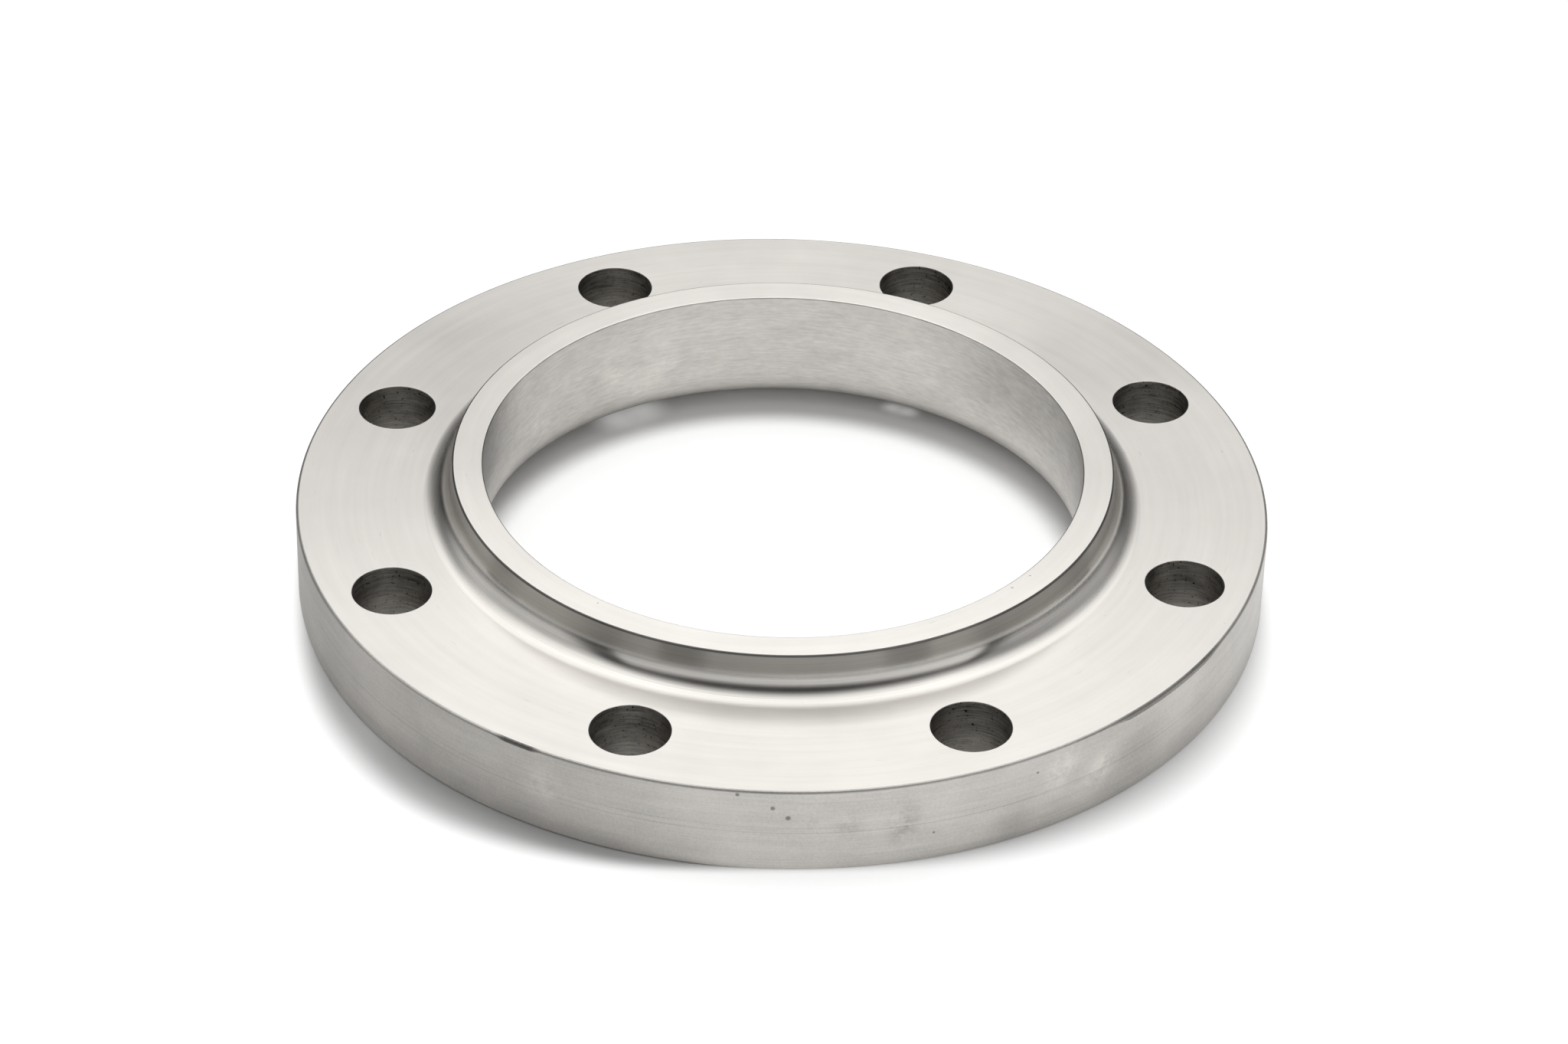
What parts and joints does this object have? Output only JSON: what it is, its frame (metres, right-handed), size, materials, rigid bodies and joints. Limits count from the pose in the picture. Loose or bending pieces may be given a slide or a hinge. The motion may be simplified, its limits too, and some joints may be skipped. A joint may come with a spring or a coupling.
{
  "type": "lap joint flange",
  "caption": "Steel lap joint pipe flange with a short tapered hub, straddled bolt holes and a rounded bore corner that bears on a stub end.",
  "frame": {"origin": "centre of the bore on the plane of the lap face, which is the face it lies on", "axes": "+Z along the bore from the lap face to the hub; +X and +Y each pass midway between two bolt holes"},
  "size_m": [0.2794, 0.2794, 0.0384],
  "materials": {
    "turned_steel": "fine turned, bright, light handling marks"
  },
  "bodies": {
    "root": {"flange": "turned_steel"}
  },
  "joints": []
}
